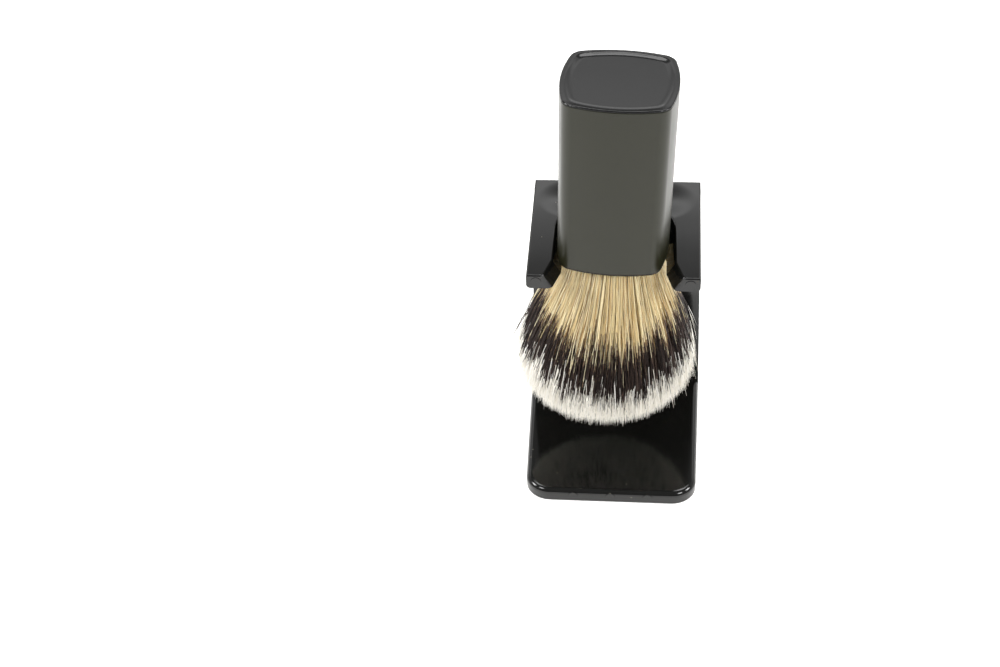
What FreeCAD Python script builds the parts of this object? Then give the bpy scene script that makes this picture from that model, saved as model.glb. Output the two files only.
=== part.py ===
"""Shaving brush hanging hair-down in its one-piece stand. Millimetres, +Z up.

The origin is on the floor, under the middle of the stand. The stand's mouth
opens towards -Y and its upright is on the +Y side. The brush is modelled upright
on the Z axis, then seated in the slot, where it turns and leans a little.
"""
import FreeCAD, Part
import math
import os

Vector = FreeCAD.Vector
UP = Vector(0, 0, 1)

# ---- stand: one moulding, base plate + upright + fork ----
BASE_DEPTH = 51.0
BASE_WIDTH_BACK = 49.5
BASE_WIDTH_FRONT = 46.5
BASE_THICKNESS = 4.0
BASE_CORNER_R = 6.8
BASE_TOP_EDGE_R = 1.6
BASE_BOTTOM_EDGE_R = 0.4

UPRIGHT_THICKNESS = 4.0
STAND_HEIGHT = 72.1
INSIDE_CORNER_R = 1.0

FORK_DEPTH = 42.6
FORK_THICKNESS = 4.0
FORK_WIDTH_BACK = 44.6
FORK_WIDTH_FRONT = 43.6
FORK_EDGE_R = 0.45
FORK_TIP_CORNER_R = 1.2

# The slot is a funnel: wide on top, narrow below, round at the back.
SLOT_HALF_TOP = 15.65
SLOT_HALF_BOTTOM = 13.35
SLOT_ARC_CENTRE_Y = 3.2
MOUTH_HALF_TOP = 17.6
MOUTH_HALF_BOTTOM = 15.4
MOUTH_FLARE_DEPTH = 6.6
MOUTH_EDGE_R = 1.3

# Ejector pins leave low round pads on the mould's front faces.
PIN_MARK_R = 1.35
PIN_MARK_HEIGHT = 0.14
PIN_MARK_SPACING = 10.2
PIN_MARK_FORK_X = 19.3

# ---- how the brush sits in the slot: turned, leaning, off the middle ----
BRUSH_TURN_DEG = -3.1
BRUSH_LEAN_DEG = 1.4
SEAT_X = -0.38
SEAT_Y = -0.54
RIM_Z = 70.3

# ---- handle: a bulged square sleeve with a socket below and a pocket above ----
HANDLE_LENGTH = 47.85
HANDLE_HALF_RIM = 14.25
HANDLE_HALF_SEAM = 14.3
SIDE_BULGE = 1.98
HANDLE_CORNER_R = 3.8
HANDLE_WALL = 1.8
SEAM_CHAMFER = 0.12
RIM_EDGE_R = 0.9

SOCKET_R = 12.3
SOCKET_MOUTH_R = 12.95
SOCKET_MOUTH_DEPTH = 2.5
SOCKET_DEPTH = 15.0
WEB_THICKNESS = 3.0

# ---- end cap: a thin plate with a raised rounded rim, a skirt and a boss ----
CAP_HEIGHT = 0.6
CAP_EDGE_R = 0.35
CAP_RIM_WIDTH = 1.25
CAP_RIM_CROWN = 0.1
CAP_DISH_DEPTH = 0.45
CAP_DISH_SLOPE = 0.96
CAP_DISH_R = 3.0
CAP_INNER_EDGE_R = 1.3
CAP_BACKING = 1.0
CAP_SKIRT_LENGTH = 4.0
CAP_SKIRT_WALL = 1.4
CAP_SKIRT_CLEARANCE = 0.1
CAP_BOSS_R = 4.5

# ---- ballast, screw and washer ----
BALLAST_R = 11.0
BALLAST_LENGTH = 16.0
BALLAST_CHAMFER = 0.6

SCREW_SHANK_R = 1.75
SCREW_CLEARANCE_R = 2.0
SCREW_HEAD_R = 3.5
SCREW_HEAD_HEIGHT = 2.4
SCREW_LENGTH = 27.0
SCREW_TIP_LENGTH = 2.0
SCREW_DRIVE_R = 1.4
SCREW_DRIVE_DEPTH = 1.2
PILOT_SPARE_DEPTH = 0.5
WASHER_R = 4.5
WASHER_THICKNESS = 0.8

# ---- root of the knot: adhesive bed, cup, resin plug and thread ----
ADHESIVE_THICKNESS = 3.6
CUP_OUTER_R = 12.2
CUP_WALL = 0.8
CUP_HEIGHT = 10.0
PLUG_THICKNESS = 4.8

BUNDLE_R = 10.6
THREAD_R = 0.33
THREAD_PITCH = 0.7
THREAD_TURNS = 4
THREAD_INSET = 1.2
SOFT_GAP = 0.05

# ---- fibre knot: throat, flank, widest place and dome ----
KNOT_THROAT_R = 12.5
KNOT_NECK_R = 12.7
KNOT_NECK_Z = 67.6
KNOT_SHOULDER_R = 19.8
KNOT_SHOULDER_Z = 52.0
KNOT_BLOOM_R = 24.1
KNOT_BLOOM_Z = 34.2
KNOT_TIP_Z = 18.2
KNOT_NECK_SLOPE = 0.25
KNOT_BACK_GAP = 0.3

# ---- worked out from the above ----
BASE_FRONT_Y = -BASE_DEPTH / 2
BACK_Y = BASE_DEPTH / 2
UPRIGHT_FRONT_Y = BACK_Y - UPRIGHT_THICKNESS
FORK_FRONT_Y = BACK_Y - FORK_DEPTH
FORK_BOTTOM_Z = STAND_HEIGHT - FORK_THICKNESS
CAP_SEAM_Z = RIM_Z + HANDLE_LENGTH
BRUSH_TOP_Z = CAP_SEAM_Z + CAP_HEIGHT
SOCKET_END_Z = RIM_Z + SOCKET_DEPTH
WEB_TOP_Z = SOCKET_END_Z + WEB_THICKNESS
BALLAST_TOP_Z = WEB_TOP_Z + BALLAST_LENGTH
WASHER_BOTTOM_Z = SOCKET_END_Z - WASHER_THICKNESS
ADHESIVE_BOTTOM_Z = SOCKET_END_Z - ADHESIVE_THICKNESS
CUP_MOUTH_Z = ADHESIVE_BOTTOM_Z - CUP_HEIGHT
CUP_INNER_R = CUP_OUTER_R - CUP_WALL
PLUG_TOP_Z = ADHESIVE_BOTTOM_Z - CUP_WALL
PLUG_BOTTOM_Z = PLUG_TOP_Z - PLUG_THICKNESS

# ---- for making the shapes ----
CUT_MARGIN = 5.0
OVERCUT = 1.0
NEAR = 0.01


def cylinder(radius, low_z, high_z):
    return Part.makeCylinder(radius, high_z - low_z, Vector(0, 0, low_z))


def block(low, high):
    size = [b - a for a, b in zip(low, high)]
    return Part.makeBox(size[0], size[1], size[2], Vector(*low))


def polygon_wire(points):
    return Part.makePolygon([Vector(*p) for p in points] + [Vector(*points[0])])


def edges_where(shape, test):
    """Edges whose middle point passes the test."""
    found = []
    for edge in shape.Edges:
        middle = edge.valueAt((edge.FirstParameter + edge.LastParameter) / 2)
        if test(middle, edge):
            found.append(edge)
    return found


# ---------------------------------------------------------------- stand

def half_width_at(y, back_half, front_half, front_y):
    """Half width of a plate that tapers evenly from the back to its front."""
    share = (BACK_Y - y) / (BACK_Y - front_y)
    return back_half + (front_half - back_half) * share


def base_plate():
    back = BASE_WIDTH_BACK / 2
    front = BASE_WIDTH_FRONT / 2
    outline = polygon_wire([(-front, BASE_FRONT_Y, 0), (front, BASE_FRONT_Y, 0),
                            (back, BACK_Y, 0), (-back, BACK_Y, 0)])
    plate = Part.Face(outline).extrude(UP * BASE_THICKNESS)
    corners = edges_where(plate, lambda m, e: m.y < BASE_FRONT_Y + NEAR
                          and abs(m.z - BASE_THICKNESS / 2) < NEAR)
    plate = plate.makeFillet(BASE_CORNER_R, corners)
    top = edges_where(plate, lambda m, e: m.z > BASE_THICKNESS - NEAR and m.y < BACK_Y - NEAR)
    plate = plate.makeFillet(BASE_TOP_EDGE_R, top)
    bottom = edges_where(plate, lambda m, e: m.z < NEAR and m.y < BACK_Y - NEAR)
    return plate.makeFillet(BASE_BOTTOM_EDGE_R, bottom)


def upright_plate():
    foot = BASE_WIDTH_BACK / 2
    head = FORK_WIDTH_BACK / 2
    outline = polygon_wire([(-foot, UPRIGHT_FRONT_Y, 0), (foot, UPRIGHT_FRONT_Y, 0),
                            (head, UPRIGHT_FRONT_Y, STAND_HEIGHT),
                            (-head, UPRIGHT_FRONT_Y, STAND_HEIGHT)])
    return Part.Face(outline).extrude(Vector(0, UPRIGHT_THICKNESS, 0))


def slot_outline(half, mouth_half, z):
    """U-shaped outline of the slot, open past the fork's front."""
    flare_y = FORK_FRONT_Y + MOUTH_FLARE_DEPTH
    past_y = FORK_FRONT_Y - CUT_MARGIN
    past_half = mouth_half + (mouth_half - half) * CUT_MARGIN / MOUTH_FLARE_DEPTH
    left = [Vector(-past_half, past_y, z), Vector(-half, flare_y, z),
            Vector(-half, SLOT_ARC_CENTRE_Y, z)]
    right = [Vector(half, SLOT_ARC_CENTRE_Y, z), Vector(half, flare_y, z),
             Vector(past_half, past_y, z)]
    back = Vector(0, SLOT_ARC_CENTRE_Y + half, z)
    return Part.Wire([Part.LineSegment(left[0], left[1]).toShape(),
                      Part.LineSegment(left[1], left[2]).toShape(),
                      Part.Arc(left[2], back, right[0]).toShape(),
                      Part.LineSegment(right[0], right[1]).toShape(),
                      Part.LineSegment(right[1], right[2]).toShape(),
                      Part.LineSegment(right[2], left[0]).toShape()])


def slot_cutter():
    """The funnel, carried on at its own slope above and below the fork."""
    slope = (SLOT_HALF_TOP - SLOT_HALF_BOTTOM) / FORK_THICKNESS
    mouth_slope = (MOUTH_HALF_TOP - MOUTH_HALF_BOTTOM) / FORK_THICKNESS
    below = slot_outline(SLOT_HALF_BOTTOM - slope * OVERCUT, MOUTH_HALF_BOTTOM - mouth_slope * OVERCUT,
                         FORK_BOTTOM_Z - OVERCUT)
    above = slot_outline(SLOT_HALF_TOP + slope * OVERCUT, MOUTH_HALF_TOP + mouth_slope * OVERCUT,
                         STAND_HEIGHT + OVERCUT)
    return Part.makeLoft([below, above], True, True)


def fork_plate():
    back = FORK_WIDTH_BACK / 2
    front = FORK_WIDTH_FRONT / 2
    outline = polygon_wire([(-front, FORK_FRONT_Y, FORK_BOTTOM_Z), (front, FORK_FRONT_Y, FORK_BOTTOM_Z),
                            (back, BACK_Y, FORK_BOTTOM_Z), (-back, BACK_Y, FORK_BOTTOM_Z)])
    plate = Part.Face(outline).extrude(UP * FORK_THICKNESS)
    tip_bottom = edges_where(plate, lambda m, e: m.z < FORK_BOTTOM_Z + NEAR and abs(m.x) > front - NEAR)
    return plate.makeFillet(FORK_TIP_CORNER_R, tip_bottom)


def inside_corner(y, z, away_y, away_z, half_width):
    """Concave fillet bar in the corner at (y, z), filling towards (away_y, away_z)."""
    r = INSIDE_CORNER_R
    bar = block((-half_width, min(y, y + away_y * r), min(z, z + away_z * r)),
                (half_width, max(y, y + away_y * r), max(z, z + away_z * r)))
    round_bar = Part.makeCylinder(r, 2 * half_width, Vector(-half_width, y + away_y * r, z + away_z * r),
                                  Vector(1, 0, 0))
    return bar.cut(round_bar)


def pin_mark(x, front_y, z):
    return Part.makeCylinder(PIN_MARK_R, 2 * PIN_MARK_HEIGHT, Vector(x, front_y - PIN_MARK_HEIGHT, z),
                             Vector(0, 1, 0))


def pin_marks():
    base = [pin_mark(k * PIN_MARK_SPACING, BASE_FRONT_Y, BASE_THICKNESS / 2) for k in (-1, 0, 1)]
    fork = [pin_mark(side * PIN_MARK_FORK_X, FORK_FRONT_Y, STAND_HEIGHT - FORK_THICKNESS / 2)
            for side in (-1, 1)]
    return base + fork


def stand():
    body = base_plate().fuse([upright_plate(), fork_plate()])
    low_half = half_width_at(UPRIGHT_FRONT_Y, BASE_WIDTH_BACK / 2, BASE_WIDTH_FRONT / 2, BASE_FRONT_Y)
    high_half = FORK_WIDTH_BACK / 2
    body = body.fuse([
        inside_corner(UPRIGHT_FRONT_Y, BASE_THICKNESS, -1, 1, low_half - BASE_TOP_EDGE_R),
        inside_corner(UPRIGHT_FRONT_Y, FORK_BOTTOM_Z, -1, -1, high_half - FORK_TIP_CORNER_R)])
    body = body.cut(slot_cutter()).removeSplitter()
    mouth = edges_where(body, lambda m, e: m.y < FORK_FRONT_Y + NEAR and abs(m.x) < MOUTH_HALF_TOP
                        and FORK_BOTTOM_Z + NEAR < m.z < STAND_HEIGHT - NEAR)
    body = body.makeFillet(MOUTH_EDGE_R, mouth)
    top = edges_where(body, lambda m, e: m.z > STAND_HEIGHT - NEAR)
    return body.makeFillet(FORK_EDGE_R, top).fuse(pin_marks()).removeSplitter()


# ---------------------------------------------------------------- handle

def bulged_square(half, z, corner_r):
    """Square outline with outward-bowed sides and round corners, tangent all round."""
    corner = half - SIDE_BULGE
    side_r = (corner ** 2 + SIDE_BULGE ** 2) / (2 * SIDE_BULGE)
    offset = half - side_r
    reach = side_r - corner_r
    along = (offset + math.sqrt(2 * reach ** 2 - offset ** 2)) / 2
    length = math.hypot(along - offset, along)
    tangent_x = offset + side_r * (along - offset) / length
    tangent_y = side_r * along / length
    corner_mid = along + corner_r / math.sqrt(2)
    edges = []
    for quarter in range(4):
        turn = FreeCAD.Rotation(UP, 90 * quarter)
        side = [Vector(tangent_x, -tangent_y, 0), Vector(half, 0, 0), Vector(tangent_x, tangent_y, 0)]
        bend = [side[2], Vector(corner_mid, corner_mid, 0), Vector(tangent_y, tangent_x, 0)]
        for points in (side, bend):
            placed = [turn.multVec(p) + UP * z for p in points]
            edges.append(Part.Arc(*placed).toShape())
    return Part.Wire(edges)


def handle_half_at(z):
    share = (z - RIM_Z) / (CAP_SEAM_Z - RIM_Z)
    return HANDLE_HALF_RIM + (HANDLE_HALF_SEAM - HANDLE_HALF_RIM) * share


def handle_block(sections):
    """Solid through bulged squares given as (inset from the outer face, height)."""
    wires = [bulged_square(handle_half_at(z) - inset, z, HANDLE_CORNER_R - inset / 2)
             for inset, z in sections]
    return Part.makeLoft(wires, True, True)


def handle_shell():
    outer = handle_block([(0, RIM_Z), (0, CAP_SEAM_Z - SEAM_CHAMFER), (SEAM_CHAMFER, CAP_SEAM_Z)])
    outer = outer.makeFillet(RIM_EDGE_R, edges_where(outer, lambda m, e: m.z < RIM_Z + NEAR))
    pocket = handle_block([(HANDLE_WALL, WEB_TOP_Z), (HANDLE_WALL, CAP_SEAM_Z + OVERCUT)])
    socket = cylinder(SOCKET_R, RIM_Z - OVERCUT, SOCKET_END_Z)
    mouth = Part.makeCone(SOCKET_MOUTH_R, SOCKET_R, SOCKET_MOUTH_DEPTH, Vector(0, 0, RIM_Z))
    screw_hole = cylinder(SCREW_CLEARANCE_R, SOCKET_END_Z - OVERCUT, WEB_TOP_Z + OVERCUT)
    return outer.cut([pocket, socket, mouth, screw_hole])


def cap_plate():
    """Thin plate with a raised rim, whose inner side runs down into the dish in a hollow curve."""
    plate = handle_block([(SEAM_CHAMFER, CAP_SEAM_Z), (0, CAP_SEAM_Z + SEAM_CHAMFER),
                          (0, BRUSH_TOP_Z - CAP_RIM_CROWN), (CAP_RIM_WIDTH, BRUSH_TOP_Z)])
    outer_z = BRUSH_TOP_Z - CAP_RIM_CROWN
    outer_edge = edges_where(plate, lambda m, e: abs(m.z - outer_z) < NEAR)
    plate = plate.makeFillet(CAP_EDGE_R, outer_edge)
    dish = handle_block([(CAP_RIM_WIDTH + CAP_DISH_SLOPE, BRUSH_TOP_Z - CAP_DISH_DEPTH),
                         (CAP_RIM_WIDTH, BRUSH_TOP_Z), (CAP_RIM_WIDTH, BRUSH_TOP_Z + OVERCUT)])
    dish_foot = edges_where(dish, lambda m, e: m.z < BRUSH_TOP_Z - CAP_DISH_DEPTH + NEAR)
    plate = plate.cut(dish.makeFillet(CAP_DISH_R, dish_foot))
    dish_half = HANDLE_HALF_SEAM - CAP_RIM_WIDTH
    inner_edge = edges_where(plate, lambda m, e: m.z > BRUSH_TOP_Z - NEAR
                             and max(abs(m.x), abs(m.y)) < dish_half + NEAR)
    return plate.makeFillet(CAP_INNER_EDGE_R, inner_edge)


def cap_skirt():
    """Plug inside the sleeve: a backing plate under the cap and a ring below it."""
    inset = HANDLE_WALL + CAP_SKIRT_CLEARANCE
    low_z = CAP_SEAM_Z - CAP_SKIRT_LENGTH
    skirt = handle_block([(inset, low_z), (inset, CAP_SEAM_Z)])
    hollow = handle_block([(inset + CAP_SKIRT_WALL, low_z - OVERCUT),
                           (inset + CAP_SKIRT_WALL, CAP_SEAM_Z - CAP_BACKING)])
    return skirt.cut(hollow)


def handle_end_cap():
    boss = cylinder(CAP_BOSS_R, BALLAST_TOP_Z, CAP_SEAM_Z)
    pilot_end_z = WASHER_BOTTOM_Z + SCREW_LENGTH + PILOT_SPARE_DEPTH
    pilot = cylinder(SCREW_SHANK_R, BALLAST_TOP_Z - OVERCUT, pilot_end_z)
    return cap_plate().fuse([cap_skirt(), boss]).cut(pilot).removeSplitter()


def ballast_weight():
    slug = cylinder(BALLAST_R, WEB_TOP_Z, BALLAST_TOP_Z)
    rims = edges_where(slug, lambda m, e: isinstance(e.Curve, Part.Circle))
    slug = slug.makeChamfer(BALLAST_CHAMFER, rims)
    return slug.cut(cylinder(SCREW_CLEARANCE_R, WEB_TOP_Z - OVERCUT, BALLAST_TOP_Z + OVERCUT))


def cap_screw():
    head_low_z = WASHER_BOTTOM_Z - SCREW_HEAD_HEIGHT
    tip_z = WASHER_BOTTOM_Z + SCREW_LENGTH
    head = cylinder(SCREW_HEAD_R, head_low_z, WASHER_BOTTOM_Z)
    lower_rim = edges_where(head, lambda m, e: m.z < head_low_z + NEAR)
    head = head.makeFillet(SCREW_HEAD_HEIGHT / 3, lower_rim)
    shank = cylinder(SCREW_SHANK_R, WASHER_BOTTOM_Z, tip_z - SCREW_TIP_LENGTH)
    tip = Part.makeCone(SCREW_SHANK_R, SCREW_SHANK_R / 4, SCREW_TIP_LENGTH,
                        Vector(0, 0, tip_z - SCREW_TIP_LENGTH))
    hexagon = [(SCREW_DRIVE_R * math.cos(math.radians(60 * k)),
                SCREW_DRIVE_R * math.sin(math.radians(60 * k)), head_low_z - OVERCUT) for k in range(6)]
    drive = Part.Face(polygon_wire(hexagon)).extrude(UP * (SCREW_DRIVE_DEPTH + OVERCUT))
    return head.fuse([shank, tip]).cut(drive).removeSplitter()


def screw_washer():
    ring = cylinder(WASHER_R, WASHER_BOTTOM_Z, SOCKET_END_Z)
    return ring.cut(cylinder(SCREW_CLEARANCE_R, WASHER_BOTTOM_Z - OVERCUT, SOCKET_END_Z + OVERCUT))


# ---------------------------------------------------------------- knot

def knot_adhesive():
    """Adhesive fills the socket's end round the screw's head and washer."""
    bed = cylinder(SOCKET_R, ADHESIVE_BOTTOM_Z, SOCKET_END_Z)
    head_room = cylinder(SCREW_HEAD_R, WASHER_BOTTOM_Z - SCREW_HEAD_HEIGHT, WASHER_BOTTOM_Z)
    return bed.cut([head_room, cylinder(WASHER_R, WASHER_BOTTOM_Z, SOCKET_END_Z)])


def knot_cup():
    body = cylinder(CUP_OUTER_R, CUP_MOUTH_Z, ADHESIVE_BOTTOM_Z)
    return body.cut(cylinder(CUP_INNER_R, CUP_MOUTH_Z - OVERCUT, PLUG_TOP_Z))


def knot_resin_plug():
    return cylinder(CUP_INNER_R, PLUG_BOTTOM_Z, PLUG_TOP_Z)


def knot_binding():
    """Turns of thread round the root, each its own ring."""
    ring_r = BUNDLE_R + SOFT_GAP + THREAD_R
    lowest_z = CUP_MOUTH_Z + THREAD_INSET
    rings = [Part.makeTorus(ring_r, THREAD_R, Vector(0, 0, lowest_z + turn * THREAD_PITCH))
             for turn in range(THREAD_TURNS)]
    return Part.makeCompound(rings)


def knot_profile():
    """Half section of the knot: root, throat, flaring flank and domed tips."""
    top_z = PLUG_BOTTOM_Z - SOFT_GAP
    flank = Part.BSplineCurve()
    flank.interpolate([Vector(KNOT_NECK_R, 0, KNOT_NECK_Z),
                       Vector(KNOT_SHOULDER_R, 0, KNOT_SHOULDER_Z),
                       Vector(KNOT_BLOOM_R, 0, KNOT_BLOOM_Z)],
                      InitialTangent=Vector(KNOT_NECK_SLOPE, 0, -1), FinalTangent=Vector(0, 0, -1))
    dome = Part.Ellipse(Vector(KNOT_BLOOM_R, 0, KNOT_BLOOM_Z), Vector(0, 0, KNOT_TIP_Z),
                        Vector(0, 0, KNOT_BLOOM_Z))
    corners = [Vector(0, 0, KNOT_TIP_Z), Vector(0, 0, top_z), Vector(BUNDLE_R, 0, top_z),
               Vector(BUNDLE_R, 0, CUP_MOUTH_Z), Vector(KNOT_THROAT_R, 0, RIM_Z),
               Vector(KNOT_NECK_R, 0, KNOT_NECK_Z)]
    straight = [Part.LineSegment(a, b).toShape() for a, b in zip(corners, corners[1:])]
    curved = [flank.toShape(), dome.toShape(0, math.pi / 2)]
    return Part.Wire(Part.__sortEdges__(straight + curved))


def knot_fibres():
    return Part.Face(knot_profile()).revolve(Vector(0, 0, 0), UP, 360)


def pressed_flat_by_upright(shape):
    """The upright stops the seated knot from swelling backwards."""
    flat_y = UPRIGHT_FRONT_Y - KNOT_BACK_GAP
    reach = BASE_DEPTH
    return shape.cut(block((-reach, flat_y, 0), (reach, flat_y + reach, BRUSH_TOP_Z)))


# ---------------------------------------------------------------- assembly

def seated(shape):
    """Turn, lean and shift a brush piece from the Z axis into its seat in the slot."""
    shape.rotate(Vector(0, 0, 0), UP, BRUSH_TURN_DEG)
    shape.rotate(Vector(0, 0, RIM_Z), Vector(0, 1, 0), BRUSH_LEAN_DEG)
    shape.translate(Vector(SEAT_X, SEAT_Y, 0))
    return shape


def main():
    os.makedirs("parts", exist_ok=True)
    nodes = {"stand": stand()}
    for make in (handle_shell, handle_end_cap, ballast_weight, cap_screw, screw_washer,
                 knot_adhesive, knot_cup, knot_resin_plug, knot_binding, knot_fibres):
        nodes[make.__name__] = seated(make())
    nodes["knot_fibres"] = pressed_flat_by_upright(nodes["knot_fibres"])
    for name, shape in nodes.items():
        shape.exportStep("parts/" + name + ".step")
        box = shape.optimalBoundingBox(False)
        print(name, "valid", shape.isValid(), "solids", len(shape.Solids),
              "volume", round(shape.Volume, 1), "z", round(box.ZMin, 2), round(box.ZMax, 2),
              "x", round(box.XMin, 2), round(box.XMax, 2), "y", round(box.YMin, 2), round(box.YMax, 2))


main()
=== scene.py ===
import math

import bpy
import numpy as np
from mathutils import Matrix, Vector
from mathutils.kdtree import KDTree


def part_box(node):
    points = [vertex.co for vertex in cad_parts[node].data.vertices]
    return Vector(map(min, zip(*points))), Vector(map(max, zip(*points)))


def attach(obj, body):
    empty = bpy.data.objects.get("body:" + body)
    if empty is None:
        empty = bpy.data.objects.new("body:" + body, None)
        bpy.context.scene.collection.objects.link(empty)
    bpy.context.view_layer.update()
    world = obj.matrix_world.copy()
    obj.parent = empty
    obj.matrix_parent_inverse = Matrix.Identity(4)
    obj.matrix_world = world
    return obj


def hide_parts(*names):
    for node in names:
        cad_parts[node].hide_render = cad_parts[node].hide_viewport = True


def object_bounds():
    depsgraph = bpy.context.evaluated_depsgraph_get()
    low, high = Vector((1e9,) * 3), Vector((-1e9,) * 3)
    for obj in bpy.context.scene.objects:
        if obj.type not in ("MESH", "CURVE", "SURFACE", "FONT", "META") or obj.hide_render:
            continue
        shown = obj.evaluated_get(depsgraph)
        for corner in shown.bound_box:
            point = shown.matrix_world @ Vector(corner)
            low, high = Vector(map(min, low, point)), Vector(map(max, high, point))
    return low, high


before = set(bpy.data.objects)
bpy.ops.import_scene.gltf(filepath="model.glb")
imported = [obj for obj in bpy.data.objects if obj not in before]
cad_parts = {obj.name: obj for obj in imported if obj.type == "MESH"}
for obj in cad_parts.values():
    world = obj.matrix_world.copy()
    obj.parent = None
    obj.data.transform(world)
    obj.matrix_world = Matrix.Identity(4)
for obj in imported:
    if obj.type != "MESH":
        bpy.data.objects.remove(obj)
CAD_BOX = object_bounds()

MM = 0.001
SEED = 7
FULL_TURN = 2 * np.pi

# ---- camera: place in metres, turn, downward pitch and roll in degrees ----
CAMERA_PLACE = (0.00676, -0.30892, 0.30071)
CAMERA_AZIMUTH_DEG = 6.99
CAMERA_PITCH_DEG = 40.13
CAMERA_ROLL_DEG = -3.08
CAMERA_LENS_MM = 53.47
SENSOR_MM = 36.0

# ---- studio: glowing white floor, softboxes, a bright strip of wall behind; metres ----
FLOOR_HALF = 12.0
FLOOR_COLOUR = (0.93, 0.925, 0.91)
FLOOR_ROUGHNESS = 0.7
FLOOR_GLOW = 0.6
# Each softbox: place, width, depth, power.
SOFTBOXES = {
    "overhead": ((0.0, 0.36, 0.85), 0.75, 0.28, 3.6),
    "left": ((-0.49, -0.41, 0.70), 0.24, 0.24, 2.3),
    "right": ((0.50, -0.50, 0.60), 0.24, 0.24, 2.6),
    "left_side": ((-0.60, -0.06, 0.42), 0.20, 0.20, 2.4),
    "right_side": ((0.60, -0.06, 0.42), 0.20, 0.20, 2.4),
}
AMBIENT_GLOW = 0.26
WALL_GLOW = 1.15
# How far a direction points back, along +Y, as the wall fades in.
WALL_FADE = (0.1, 0.7)
# Share of the wall's glow at each height, given as the sine of the elevation.
WALL_STEPS = ((0.0, 0.6), (0.50, 0.4), (0.565, 1.45), (0.59, 0.5), (0.62, 0.05), (0.66, 0.0))
HORIZON_GLOW = 0.62
# Heights, as sines of the elevation, over which the horizon's glow fades out.
HORIZON_FADE = (0.3, 0.45)

# ---- marks, dust and painted shade that the materials show; places, sizes and depths in millimetres ----
SINK_PLACES = ((-12.2, 16.8, 72.1), (12.2, 16.8, 72.1))
SINK_RADIUS = 9.0
SINK_DEPTH = 0.22
DUST_SPACING = 3.0
# Values between which most of a noise field lies.
NOISE_SPAN = (0.3, 0.7)
# How far up the slot's sloping walls face, from -1 to 1: fade in, then fade out. On them the gloss is
# cut, a painted shade.
FUNNEL_SLOPES = ((0.40, 0.46), (0.52, 0.58))
# How far up the handle's downward-facing lower rim faces, over which its painted shade fades in.
PAINTED_RIM_SHADE_SLOPES = (-0.05, -0.15)

# ---- colours of the CAD nodes; a pair is the darkest and the lightest of a mottled one ----
STAND_BLACK = (0.005, 0.005, 0.0045)
STAND_DUST = (0.36, 0.33, 0.26)
OLIVE_BLACK = (0.012, 0.012, 0.005)
CAP_BLACK = (0.006, 0.006, 0.006)
CUP_BLACK = (0.03, 0.03, 0.03)
SATIN_DUST = (0.10, 0.10, 0.09)
# Painted shade: near-black colour for the handle's downward-facing lower rim, in place of the shadow
# beneath it.
PAINTED_RIM_SHADE = (0.003, 0.003, 0.003)
STEEL = ((0.48, 0.48, 0.49), (0.62, 0.62, 0.62))
ADHESIVE = ((0.66, 0.62, 0.50), (0.74, 0.70, 0.60))
AMBER = ((0.55, 0.38, 0.15), (0.66, 0.48, 0.22))
THREAD = ((0.52, 0.47, 0.35), (0.64, 0.59, 0.46))

# ---- knot, in millimetres below the root, measured along the brush's axis ----
# Radius of the outermost fibres at each depth: root, throat, flank, and on past the bloom.
FLANK_DEPTH = (0.0, 3.0, 4.4, 5.8, 7.6, 10.0, 16.0, 24.0, 32.0, 37.0, 42.0, 50.0, 60.0)
FLANK_RADIUS = (10.4, 10.5, 11.0, 12.1, 12.5, 12.9, 15.5, 19.3, 22.4, 23.9, 25.1, 27.0, 29.0)
BLOOM_RADIUS = 24.9
BLOOM_DEPTH = 41.6
TIP_DEPTH = 56.8
ROOT_IN_RESIN = 0.6
# The hair hangs to the left of the axis: how far, and the depths over which it swings out.
SWING = 1.3
SWING_DEPTHS = (5, 1.4 * BLOOM_DEPTH)
# The hair stays this far from the upright, and eases off over this length.
BACK_GAP = 0.5
BACK_SOFTNESS = 1.6

FIBRES = 16000
FIBRE_GROUPS = 8
FIBRE_SIDES = 3
FIBRE_RADIUS = 0.085
FIBRE_VARIATION = (0.8, 1.2)
# A direction that no fibre runs in, from which each tube's corners are set out.
OFF_FIBRE = (0.31, 0.95, 0.02)
# Thickness at the tip as a share of the full one, and lengths from the tip over which it grows.
TIP_SHARE = 0.12
TAPER = (-1, 7)
# Dark fibres shine less than pale ones: roughness, gloss of black, and what full red adds.
FIBRE_ROUGHNESS = 0.42
DARKEST_GLOSS = 0.15
PALE_GLOSS = 0.35
# Below 0.5, more tips lie near the outside of the dome than an even scatter gives.
TIP_CROWDING = 0.42
# Unevenness of the tips' depths: by clump and by fibre.
TIP_SPREAD = (0.4, 0.45)

# Fibres cling in strands, strands in clumps, clumps in locks: fibres in each, then how far
# they draw together and the depths over which they do.
LOCK_SIZE = 90
CLUMP_SIZE = 10
STRAND_SIZE = 3
LOCK_PULL = (0.16, 12, 50)
CLUMP_PULL = (0.45, 26, 57)
STRAND_PULL = (0.5, 26, 52)

# How far a fibre's end leaves its even run: across by strand, by fibre and as a stray, and
# outward by strand and as a stray. It bends away from a random depth on, more and more.
ACROSS = (0.9, 1.0, 3.2)
OUTWARD = (0.35, 2.8)
BEND_STARTS = (7, 30)
BEND_ENDS = 58
BEND_POWER = 1.3
# A slight wave along each fibre: height, radians in each millimetre, depths of its fade-in.
WAVE_SIZE = 0.22
WAVE_PACES = (0.2, 0.5)
WAVE_FADE = (8, 20)
# Strays end higher up than the rest: mean and spread of the change of depth.
STRAY_SHARE = 0.09
STRAY_DEPTH = (-2.5, 1.0)
# Strays stand out only near the outside, and more at the sides than front and back.
STRAY_OUTER = (0.65, 1.0)
STRAY_LEAST = 0.6
STRAY_SIDES = 0.8

# Lengths from the tip at which ivory turns dark, and dark turns cream; more at the sides.
WHITE_LENGTH = 5.6
WHITE_SIDES = 2.6
WHITE_OUTER = (0.7, 1.0)
WHITE_LIMITS = (2.5, 13)
DARK_END = 17.2
DARK_SIDES = 3.0
DARK_LEAST = 2.2
DARK_MOST = 23
# Cream that reaches this much further than the average is of the lightest shade.
LONG_CREAM = 3.5
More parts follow.
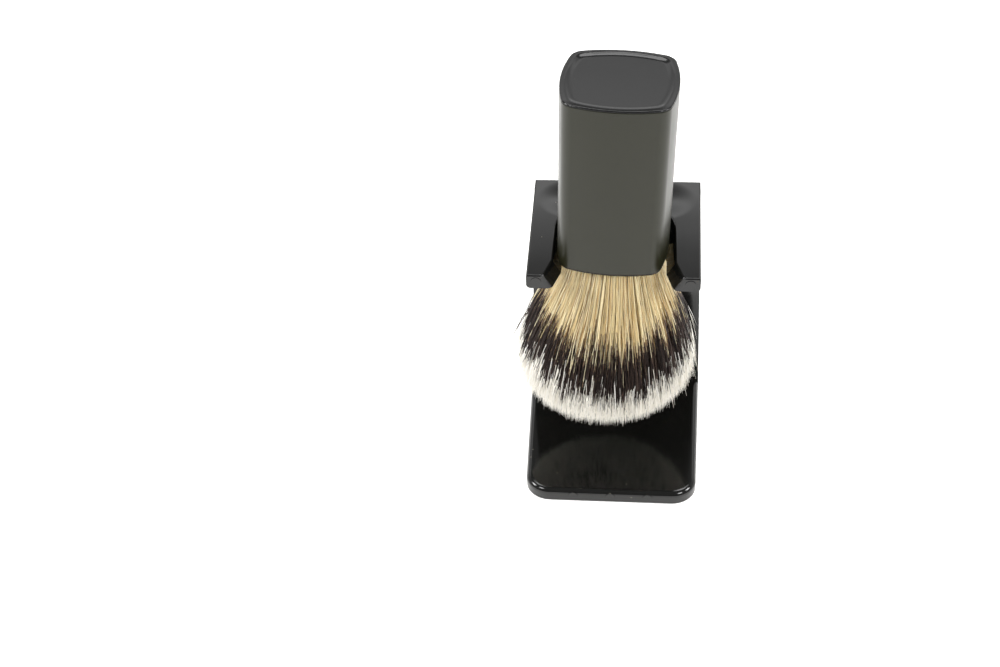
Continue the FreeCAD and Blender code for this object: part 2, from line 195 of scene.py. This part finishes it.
# Spread of those lengths by lock, by clump, by strand and by fibre.
WHITE_SPREAD = (0.4, 0.7, 0.9, 1.1)
DARK_SPREAD = (0.7, 1.1, 1.0, 1.5)
# Some strands and fibres have more ivory, or more cream, than the rest: odds, most extra length.
LONG_WHITE_STRANDS = (0.12, 6)
LONG_WHITE_FIBRES = (0.06, 8)
LONG_CREAM_STRANDS = (0.04, 8)
LONG_CREAM_FIBRES = (0.12, 11)

# Rings along a fibre: the first from its tip, those each side of a turn of colour, those past
# the turn to cream, and the least gap between any two.
TIP_RING = 0.9
TURN_LENGTH = 0.8
CREAM_RINGS = (5, 10, 16, 22)
RING_GAP = 0.3

# Shades of each band from root to tip, with the share of the fibres that has each.
BANDS = {
    "cream": [((0.93, 0.82, 0.54), 0.28), ((0.88, 0.74, 0.43), 0.28), ((0.82, 0.65, 0.34), 0.22),
              ((0.72, 0.53, 0.24), 0.12), ((0.52, 0.33, 0.13), 0.07), ((0.36, 0.20, 0.07), 0.03)],
    "brown": [((0.30, 0.20, 0.12), 0.35), ((0.20, 0.13, 0.09), 0.4), ((0.13, 0.085, 0.06), 0.25)],
    "dark": [((0.036, 0.023, 0.019), 0.35), ((0.022, 0.014, 0.012), 0.3),
             ((0.065, 0.042, 0.033), 0.2), ((0.012, 0.008, 0.007), 0.15)],
    "grey": [((0.33, 0.28, 0.24), 0.5), ((0.46, 0.41, 0.35), 0.5)],
    "ivory": [((0.93, 0.90, 0.83), 0.35), ((0.90, 0.87, 0.78), 0.3),
              ((0.95, 0.93, 0.88), 0.2), ((0.82, 0.77, 0.67), 0.15)],
}

scene = bpy.context.scene
rng = np.random.default_rng(SEED)


# ---------------------------------------------------------------- shader nodes

def new_material(name):
    """Material with its main shader."""
    mat = bpy.data.materials.new(name)
    mat.use_nodes = True
    return mat, mat.node_tree.nodes["Principled BSDF"]


def feed(owner, source, target):
    """Give an input another node's output, or a plain number, place or colour."""
    if isinstance(source, bpy.types.NodeSocket):
        owner.node_tree.links.new(source, target)
    else:
        target.default_value = (*source, 1) if target.type == "RGBA" else source


def fill(owner, node, **inputs):
    """Feed a node's inputs by name, with _ for a space."""
    for name, source in inputs.items():
        feed(owner, source, node.inputs[name.replace("_", " ")])


def add_node(owner, kind, **inputs):
    """New node in a material or world."""
    node = owner.node_tree.nodes.new(kind)
    fill(owner, node, **inputs)
    return node


def combined(owner, operation, first, second):
    """Math node on two terms, each a socket or a number."""
    node = add_node(owner, "ShaderNodeMath")
    node.operation = operation
    feed(owner, first, node.inputs[0])
    feed(owner, second, node.inputs[1])
    return node.outputs[0]


def remap(owner, source, low, high, to_low, to_high):
    """Clamped change of range."""
    node = add_node(owner, "ShaderNodeMapRange", Value=source,
                    From_Min=low, From_Max=high, To_Min=to_low, To_Max=to_high)
    return node.outputs[0]


def place_of(owner, kind="Object"):
    """Place on the piece, so that a pattern moves with it, or with Generated a world's direction."""
    return add_node(owner, "ShaderNodeTexCoord").outputs[kind]


def parts_of(owner, vector):
    """The X, Y and Z outputs of a vector."""
    return add_node(owner, "ShaderNodeSeparateXYZ", Vector=vector).outputs


def noise(mat, scale, detail=2.0):
    """Noise field fixed to the piece."""
    field = add_node(mat, "ShaderNodeTexNoise", Vector=place_of(mat), Scale=scale, Detail=detail)
    return field.outputs["Fac"]


def uneven(mat, scale, low, high):
    """Value that drifts between two limits over the surface."""
    return remap(mat, noise(mat, scale), *NOISE_SPAN, low, high)


def mixed_colour(mat, factor, first, second):
    """Mix of two colours, each a socket or plain."""
    node = add_node(mat, "ShaderNodeMix")
    node.data_type = "RGBA"
    fill(mat, node, A=first, B=second, Factor=factor)
    return node.outputs["Result"]


def bump(mat, shader, height, strength, distance):
    """Bump on top of any that the shader has already; distance in metres."""
    node = add_node(mat, "ShaderNodeBump", Height=height, Strength=strength, Distance=distance)
    if shader.inputs["Normal"].is_linked:
        feed(mat, shader.inputs["Normal"].links[0].from_socket, node.inputs["Normal"])
    feed(mat, node.outputs["Normal"], shader.inputs["Normal"])


def dust_specks(mat, size, kept):
    """1 on sparse tiny round specks, 0 elsewhere: their size in mm, and the share that is kept."""
    cells = add_node(mat, "ShaderNodeTexVoronoi", Vector=place_of(mat), Scale=1 / (DUST_SPACING * MM))
    edge = size / DUST_SPACING / 2
    speck = remap(mat, cells.outputs["Distance"], edge, edge / 2, 0, 1)
    chance = remap(mat, cells.outputs["Color"], 1 - kept, 1 - kept + 0.01, 0, 1)
    return combined(mat, "MULTIPLY", speck, chance)


def upward(mat):
    """How far the surface faces up, from -1 to 1."""
    surface = add_node(mat, "ShaderNodeNewGeometry")
    return parts_of(mat, surface.outputs["True Normal"])["Z"]


# ---------------------------------------------------------------- studio

def make_camera():
    data = bpy.data.cameras.new("camera")
    data.lens = CAMERA_LENS_MM
    data.sensor_width = SENSOR_MM
    data.dof.use_dof = False
    camera = bpy.data.objects.new("camera", data)
    scene.collection.objects.link(camera)
    turn = Matrix.Rotation(math.radians(CAMERA_AZIMUTH_DEG), 4, "Z")
    tilt = Matrix.Rotation(math.radians(90 - CAMERA_PITCH_DEG), 4, "X")
    roll = Matrix.Rotation(math.radians(CAMERA_ROLL_DEG), 4, "Z")
    camera.matrix_world = Matrix.Translation(CAMERA_PLACE) @ turn @ tilt @ roll
    scene.camera = camera


def wall_glow(world, direction):
    """Glow of the room with a bright strip of wall behind the stand."""
    steps = add_node(world, "ShaderNodeValToRGB", Fac=direction["Z"])
    ramp = steps.color_ramp
    while len(ramp.elements) < len(WALL_STEPS):
        ramp.elements.new(1.0)
    for element, (height, share) in zip(ramp.elements, WALL_STEPS):
        element.position = height
        element.color = (share, share, share, 1)
    behind = remap(world, direction["Y"], *WALL_FADE, 0, WALL_GLOW)
    wall = combined(world, "MULTIPLY", steps.outputs["Color"], behind)
    return combined(world, "ADD", wall, AMBIENT_GLOW)


def make_world():
    """Pale room with a bright strip of wall behind the stand and a pale horizon all round."""
    world = bpy.data.worlds.new("studio")
    scene.world = world
    world.use_nodes = True
    direction = parts_of(world, place_of(world, "Generated"))
    horizon = remap(world, direction["Z"], *HORIZON_FADE, HORIZON_GLOW, 0)
    glow = combined(world, "MAXIMUM", wall_glow(world, direction), horizon)
    fill(world, world.node_tree.nodes["Background"], Color=(1, 1, 1), Strength=glow)
    scene.view_settings.view_transform = "Standard"


def make_floor():
    r = FLOOR_HALF
    mesh = bpy.data.meshes.new("floor")
    mesh.from_pydata([(-r, -r, 0), (r, -r, 0), (r, r, 0), (-r, r, 0)], [], [(0, 1, 2, 3)])
    floor = bpy.data.objects.new("floor", mesh)
    scene.collection.objects.link(floor)
    mat, shader = new_material("floor_white")
    fill(mat, shader, Base_Color=FLOOR_COLOUR, Roughness=FLOOR_ROUGHNESS,
         Emission_Color=FLOOR_COLOUR, Emission_Strength=FLOOR_GLOW)
    mesh.materials.append(mat)


def make_softbox(name, place, width, depth, power):
    """Rectangular light that faces the middle of the object."""
    light = bpy.data.lights.new(name, "AREA")
    light.shape = "RECTANGLE"
    light.size = width
    light.size_y = depth
    light.energy = power
    holder = bpy.data.objects.new(name, light)
    holder.location = place
    away = Vector(place) - (CAD_BOX[0] + CAD_BOX[1]) / 2
    holder.rotation_euler = away.to_track_quat("Z", "Y").to_euler()
    scene.collection.objects.link(holder)


# ---------------------------------------------------------------- materials of the CAD nodes

def sink_marks(mat):
    """Shallow hollows in the fork's top, where the plate meets the upright's thick corner."""
    hollows = []
    for centre in SINK_PLACES:
        away = add_node(mat, "ShaderNodeVectorMath")
        away.operation = "DISTANCE"
        feed(mat, place_of(mat), away.inputs[0])
        feed(mat, [c * MM for c in centre], away.inputs[1])
        hollow = remap(mat, away.outputs["Value"], 0, SINK_RADIUS * MM, 0, 1)
        hollow.node.interpolation_type = "SMOOTHSTEP"
        hollows.append(hollow)
    return combined(mat, "MINIMUM", *hollows)


def funnel_walls(mat):
    """1 on the slot's sloping walls, whose gloss is cut as a painted shade, 0 elsewhere."""
    slope = upward(mat)
    fade_in, fade_out = FUNNEL_SLOPES
    low = remap(mat, slope, *fade_in, 0, 1)
    high = remap(mat, slope, *fade_out, 1, 0)
    return combined(mat, "MULTIPLY", low, high)


def stand_plastic(gloss=0.5, funnel_shade_gloss=0.06):
    """Glossy black moulding: faint ripple, sink marks, a little dust, and funnel walls with a painted
    shade: their gloss cut so that they show dark.
    """
    mat, shader = new_material("stand_gloss_black")
    dust = dust_specks(mat, size=0.3, kept=0.5)
    fill(mat, shader,
         Base_Color=mixed_colour(mat, dust, STAND_BLACK, STAND_DUST),
         Roughness=uneven(mat, scale=60, low=0.06, high=0.11),
         # Painted shade: the funnel walls' gloss is cut so that they show dark.
         Specular_IOR_Level=remap(mat, funnel_walls(mat), 0, 1, gloss, funnel_shade_gloss))
    bump(mat, shader, noise(mat, scale=45, detail=1), strength=0.12, distance=0.0004)
    bump(mat, shader, sink_marks(mat), strength=1.0, distance=SINK_DEPTH * MM)
    return mat


def satin_plastic(name, colour, rough, gloss, rim_shade_gloss=0.05):
    """Fine satin moulding: even tiny grain, hardly visible colour drift, dust, and a painted shade on
    the downward-facing lower rim: near-black and hardly glossy.
    """
    mat, shader = new_material(name)
    lighter = tuple(c * 1.25 for c in colour)
    # Mask of the downward-facing lower rim, which gets a painted shade.
    rim_shade = remap(mat, upward(mat), *PAINTED_RIM_SHADE_SLOPES, 0, 1)
    drift = mixed_colour(mat, noise(mat, scale=90), colour, lighter)
    dusty = mixed_colour(mat, dust_specks(mat, size=0.16, kept=0.3), drift, SATIN_DUST)
    fill(mat, shader,
         # Painted shade: on the lower rim the colour turns near-black and the gloss drops.
         Base_Color=mixed_colour(mat, rim_shade, dusty, PAINTED_RIM_SHADE),
         Roughness=uneven(mat, scale=150, low=rough - 0.02, high=rough + 0.02),
         Specular_IOR_Level=remap(mat, rim_shade, 0, 1, gloss, rim_shade_gloss))
    bump(mat, shader, noise(mat, scale=2500, detail=1), strength=0.05, distance=0.00005)
    return mat


def machined_steel():
    """Turned steel, a little uneven in colour and finish."""
    mat, shader = new_material("machined_steel")
    fill(mat, shader, Metallic=1.0,
         Base_Color=mixed_colour(mat, noise(mat, scale=300), *STEEL),
         Roughness=uneven(mat, scale=700, low=0.25, high=0.4))
    return mat


def mottled(name, colours, rough):
    """Softly mottled matter without grain: cast resin, adhesive or waxed thread."""
    mat, shader = new_material(name)
    base = mixed_colour(mat, noise(mat, scale=220, detail=3), *colours)
    fill(mat, shader, Base_Color=base, Roughness=rough)
    return mat


def dress_cad_nodes():
    """A material for every CAD node but the knot's fibres, which make_knot() replaces."""
    steel = machined_steel()
    looks = {
        "stand": stand_plastic(),
        "handle_shell": satin_plastic("handle_satin_olive_black", OLIVE_BLACK, rough=0.34, gloss=0.37),
        "handle_end_cap": satin_plastic("cap_satin_black", CAP_BLACK, rough=0.14, gloss=0.37),
        "ballast_weight": steel,
        "cap_screw": steel,
        "screw_washer": steel,
        "knot_adhesive": mottled("adhesive_cream", ADHESIVE, rough=0.5),
        "knot_cup": satin_plastic("cup_black", CUP_BLACK, rough=0.3, gloss=0.5),
        "knot_resin_plug": mottled("resin_amber", AMBER, rough=0.15),
        "knot_binding": mottled("thread_natural", THREAD, rough=0.7),
    }
    for name, mat in looks.items():
        for material_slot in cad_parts[name].material_slots:
            material_slot.material = mat


# ---------------------------------------------------------------- knot: where the fibres run

def smooth_step(x, low, high):
    """0 below low, 1 above high, and a soft rise between them."""
    t = np.clip((x - low) / (high - low), 0, 1)
    return t * t * (3 - 2 * t)


def sideways(bearing):
    """1 at the knot's left and right sides, 0 at its front and back."""
    return np.cos(bearing) ** 2


def dome_depth(share):
    """How deep below the root a tip lies, by its share of the dome's radius."""
    return BLOOM_DEPTH + (TIP_DEPTH - BLOOM_DEPTH) * np.sqrt(np.clip(1 - share ** 2, 0, 1))


def reach(share):
    """Share of the flank's radius at which a fibre runs, so that its tip lies on the dome."""
    return share * BLOOM_RADIUS / np.interp(dome_depth(share), FLANK_DEPTH, FLANK_RADIUS)


def nearest(points, centres):
    """Index of the centre nearest to each point."""
    tree = KDTree(len(centres))
    for index, centre in enumerate(centres):
        tree.insert((*centre, 0), index)
    tree.balance()
    return np.array([tree.find((x, y, 0))[1] for x, y in points])


def gathered(share, bearing, group_size):
    """Groups of neighbours: each fibre's group centre, as share and bearing, and its group."""
    spread = np.arcsin(np.clip(share, 0, 0.999)) / (np.pi / 2)
    flat = np.stack([spread * np.cos(bearing), spread * np.sin(bearing)], 1)
    picks = rng.choice(len(flat), len(flat) // group_size, replace=False)
    owner = nearest(flat, flat[picks])
    return share[picks][owner], bearing[picks][owner], owner


def by_group(owner, spread):
    """One random value for each group, handed to its fibres."""
    return rng.normal(0, spread, owner.max() + 1)[owner]


def by_fibre(spread):
    """One random value for each fibre."""
    return rng.normal(0, spread, FIBRES)


def chosen_groups(owner, odds, most):
    """A random length for the few groups that are picked, and 0 for the fibres of the rest."""
    groups = owner.max() + 1
    return ((rng.random(groups) < odds) * rng.random(groups) * most)[owner]


def chosen_fibres(odds, most):
    """A random length for the few fibres that are picked, and 0 for the rest."""
    return (rng.random(FIBRES) < odds) * rng.random(FIBRES) * most


def scattered(owners, spreads):
    """Random offsets shared by lock, clump and strand, and one of each fibre's own."""
    shared = sum(by_group(owner, spread) for owner, spread in zip(owners, spreads))
    return shared + by_fibre(spreads[-1])


def band_limits(share, bearing, owners):
    """Lengths from the tip at which each fibre turns from ivory to dark, and to cream."""
    strand = owners[-1]
    sides = sideways(bearing)
    white = (WHITE_LENGTH + WHITE_SIDES * sides * smooth_step(share, *WHITE_OUTER)
             + scattered(owners, WHITE_SPREAD)
             + chosen_groups(strand, *LONG_WHITE_STRANDS) + chosen_fibres(*LONG_WHITE_FIBRES))
    dark = (DARK_END + DARK_SIDES * sides + scattered(owners, DARK_SPREAD)
            - chosen_groups(strand, *LONG_CREAM_STRANDS) - chosen_fibres(*LONG_CREAM_FIBRES))
    white = np.clip(white, *WHITE_LIMITS)
    return white, np.clip(dark, white + DARK_LEAST, DARK_MOST)


def ring_lengths(white, dark, tip_depth):
    """Distance of every ring from its fibre's tip, with a small gap between any two."""
    level = np.ones(FIBRES)
    rings = [0 * level, TIP_RING * level, white / 2, white - TURN_LENGTH, white + TURN_LENGTH,
             (white + dark) / 2, dark - TURN_LENGTH, dark + TURN_LENGTH]
    rings += [dark + past for past in CREAM_RINGS] + [tip_depth]
    spare = RING_GAP * np.arange(len(rings))[::-1]
    return np.minimum(np.stack(rings, 1), tip_depth[:, None] - spare)


def drawn_in(run, bearing, centre, depth, pull):
    """Polar places drawn towards their group's centre, more of the way at a greater depth."""
    strength, starts, ends = pull
    centre_share, centre_bearing, _ = centre
    amount = strength * smooth_step(depth, starts, ends)
    angle = np.angle(np.exp(1j * (centre_bearing[:, None] - bearing)))
    return run + (reach(centre_share)[:, None] - run) * amount, bearing + angle * amount


def wander(strand, stray, run, bearing, depth):
    """How far each ring leaves its fibre's even run, sideways and outward; strays go furthest."""
    start = rng.uniform(*BEND_STARTS, FIBRES)[:, None]
    bend = np.clip((depth - start) / (BEND_ENDS - start), 0, 1) ** BEND_POWER
    loose = stray * smooth_step(run, *STRAY_OUTER) * (STRAY_LEAST + STRAY_SIDES * sideways(bearing))
    strand_across, own_across, stray_across = ACROSS
    strand_outward, stray_outward = OUTWARD
    across = by_group(strand, strand_across) + by_fibre(own_across) + loose * by_fibre(stray_across)
    outward = by_group(strand, strand_outward) + loose * np.abs(by_fibre(stray_outward))
    phase = rng.random(FIBRES)[:, None] * FULL_TURN
    pace = rng.uniform(*WAVE_PACES, FIBRES)[:, None]
    wave = WAVE_SIZE * np.sin(depth * pace + phase) * smooth_step(depth, *WAVE_FADE)
    return across[:, None] * bend + wave, outward[:, None] * bend


def fibre_paths():
    """Rings of every fibre in the brush's own frame, in mm: array (fibre, ring, xyz).

    Also each ring's length from the tip, and each fibre's lengths up to its turns of colour.
    """
    share = rng.random(FIBRES) ** TIP_CROWDING
    bearing = rng.random(FIBRES) * FULL_TURN
    locks, clumps, strands = [gathered(share, bearing, size)
                              for size in (LOCK_SIZE, CLUMP_SIZE, STRAND_SIZE)]
    lock, clump, strand = locks[-1], clumps[-1], strands[-1]
    stray = (rng.random(FIBRES) < STRAY_SHARE) * 1.0
    clump_spread, own_spread = TIP_SPREAD
    tip_depth = (dome_depth(share) + by_group(clump, clump_spread) + by_fibre(own_spread)
                 + stray * rng.normal(*STRAY_DEPTH, FIBRES))
    white, dark = band_limits(share, bearing, (lock, clump, strand))
    from_tip = ring_lengths(white, dark, tip_depth)
    depth = tip_depth[:, None] - from_tip

    run = reach(share)
    run_here, bearing_here = run[:, None], bearing[:, None]
    for centre, pull in ((locks, LOCK_PULL), (clumps, CLUMP_PULL), (strands, STRAND_PULL)):
        run_here, bearing_here = drawn_in(run_here, bearing_here, centre, depth, pull)
    across, outward = wander(strand, stray, run, bearing, depth)
    flank = np.interp(depth, FLANK_DEPTH, FLANK_RADIUS)
    radius = np.maximum(run_here * flank + outward, 0)
    x = radius * np.cos(bearing_here) - across * np.sin(bearing_here)
    y = radius * np.sin(bearing_here) + across * np.cos(bearing_here)
    return np.stack([x, y, -depth], 2), from_tip, white, dark


def brush_axis():
    """A point of the brush's axis and its direction, from two round pieces centred on it."""
    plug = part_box("knot_resin_plug")
    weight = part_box("ballast_weight")
    low = (plug[0] + plug[1]) / 2
    high = (weight[0] + weight[1]) / 2
    return low, (high - low).normalized()


def into_world(points):
    """From the brush's frame in mm, with X to the right, to the CAD's frame in metres.

    The root is just inside the resin plug's lower face.
    """
    low, up = brush_axis()
    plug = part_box("knot_resin_plug")
    half_plug = (plug[1].z - plug[0].z) / 2
    root = low - up * (half_plug - ROOT_IN_RESIN * MM)
    right = (Vector((1, 0, 0)) - up * up.x).normalized()
    turn = np.array([right, up.cross(right), up])
    swing = SWING * smooth_step(-points[..., 2], *SWING_DEPTHS)
    swung = points - swing[..., None] * np.array([1.0, 0, 0])
    return swung @ (turn * MM) + np.array(root)


def press_behind(points):
    """The upright stops the knot: points behind it slide softly forward of its face."""
    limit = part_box("knot_fibres")[1].y - BACK_GAP * MM
    soft = BACK_SOFTNESS * MM
    y = points[..., 1]
    points[..., 1] = limit - soft * np.logaddexp(0, (limit - y) / soft)
    return points


# ---------------------------------------------------------------- knot: fibres as meshes

def fibre_shade(name, colour):
    """One shade of dyed fibre; a knot mixes many of them, fibre by fibre and along each."""
    mat, shader = new_material(name)
    fill(mat, shader, Base_Color=colour, Roughness=FIBRE_ROUGHNESS,
         Specular_IOR_Level=DARKEST_GLOSS + PALE_GLOSS * colour[0])
    return mat


def ring_frames(points):
    """Two unit directions across each fibre at each ring."""
    along = np.gradient(points, axis=1)
    along /= np.linalg.norm(along, axis=2, keepdims=True)
    first = np.cross(along, OFF_FIBRE)
    first /= np.linalg.norm(first, axis=2, keepdims=True)
    return first, np.cross(along, first)


def tube_corners(points, thickness):
    """Corners of FIBRE_SIDES-sided rings: array (fibre, ring, corner, xyz)."""
    first, second = ring_frames(points)
    angles = np.arange(FIBRE_SIDES) * FULL_TURN / FIBRE_SIDES
    circle = (np.cos(angles)[:, None] * first[:, :, None, :]
              + np.sin(angles)[:, None] * second[:, :, None, :])
    return points[:, :, None, :] + circle * thickness[:, :, None, None]


def tube_faces(count, rings):
    """Corner indices of the side quads, the tip caps and the root caps of count tubes."""
    start = np.arange(count)[:, None, None] * rings * FIBRE_SIDES
    ring = np.arange(rings - 1)[None, :, None] * FIBRE_SIDES
    side = np.arange(FIBRE_SIDES)[None, None, :]
    a = start + ring + side
    b = start + ring + (side + 1) % FIBRE_SIDES
    quads = np.stack([a, b, b + FIBRE_SIDES, a + FIBRE_SIDES], 3).reshape(-1, 4)
    tips = np.arange(count)[:, None] * rings * FIBRE_SIDES + np.arange(FIBRE_SIDES)[::-1]
    roots = tips[:, ::-1] + (rings - 1) * FIBRE_SIDES
    return quads, tips, roots


def tube_mesh(name, points, thickness, shades):
    """Closed tapered tubes, each segment with its own shade; the tip is ring 0."""
    corners = tube_corners(points, thickness)
    quads, tips, roots = tube_faces(*points.shape[:2])
    loops = np.concatenate([quads.reshape(-1), tips.reshape(-1), roots.reshape(-1)])
    sizes = np.concatenate([np.full(len(quads), 4), np.full(len(tips) + len(roots), FIBRE_SIDES)])
    starts = np.concatenate([[0], np.cumsum(sizes)[:-1]])
    quad_shades = np.repeat(shades.reshape(-1), FIBRE_SIDES)
    all_shades = np.concatenate([quad_shades, shades[:, 0], shades[:, -1]])

    mesh = bpy.data.meshes.new(name)
    mesh.vertices.add(corners.size // 3)
    mesh.vertices.foreach_set("co", corners.reshape(-1).astype(np.float32))
    mesh.loops.add(len(loops))
    mesh.loops.foreach_set("vertex_index", loops.astype(np.int32))
    mesh.polygons.add(len(sizes))
    mesh.polygons.foreach_set("loop_start", starts.astype(np.int32))
    mesh.polygons.foreach_set("material_index", all_shades.astype(np.int32))
    mesh.polygons.foreach_set("use_smooth", np.ones(len(sizes), bool))
    mesh.update(calc_edges=True)
    mesh.validate()
    return mesh


def pick_shades(from_tip, white, dark):
    """Material index of every fibre segment, by where it lies from the tip."""
    choice = {}
    first = 0
    for band, shades in BANDS.items():
        odds = [odd for _, odd in shades]
        choice[band] = (first + rng.choice(len(shades), FIBRES, p=odds))[:, None]
        first += len(shades)
    choice["cream"][dark < DARK_END - LONG_CREAM] = 0

    middle = (from_tip[:, :-1] + from_tip[:, 1:]) / 2
    edge_white = white[:, None]
    edge_dark = dark[:, None]
    picked = np.where(middle > edge_dark - TURN_LENGTH, choice["brown"], choice["dark"])
    picked = np.where(middle > edge_dark + TURN_LENGTH, choice["cream"], picked)
    picked = np.where(middle < edge_white, choice["grey"], picked)
    return np.where(middle < edge_white - TURN_LENGTH, choice["ivory"], picked)


def make_knot():
    """The fibres, in a few pieces of equal size that all stand for the CAD knot."""
    palette = [fibre_shade(f"fibre_{band}_{number}", colour)
               for band, shades in BANDS.items()
               for number, (colour, _) in enumerate(shades, start=1)]
    paths, from_tip, white, dark = fibre_paths()
    points = press_behind(into_world(paths))
    shades = pick_shades(from_tip, white, dark)
    own = rng.uniform(*FIBRE_VARIATION, FIBRES)[:, None]
    taper = TIP_SHARE + (1 - TIP_SHARE) * smooth_step(from_tip, *TAPER)
    thickness = FIBRE_RADIUS * MM * own * taper
    for group in range(FIBRE_GROUPS):
        name = f"knot_fibres_{group + 1}"
        chosen = slice(group, None, FIBRE_GROUPS)
        mesh = tube_mesh(name, points[chosen], thickness[chosen], shades[chosen])
        for mat in palette:
            mesh.materials.append(mat)
        piece = bpy.data.objects.new(name, mesh)
        scene.collection.objects.link(piece)
        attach(piece, "brush")
        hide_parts("knot_fibres")


make_camera()
make_world()
make_floor()
for name, setting in SOFTBOXES.items():
    make_softbox(name, *setting)
dress_cad_nodes()
make_knot()
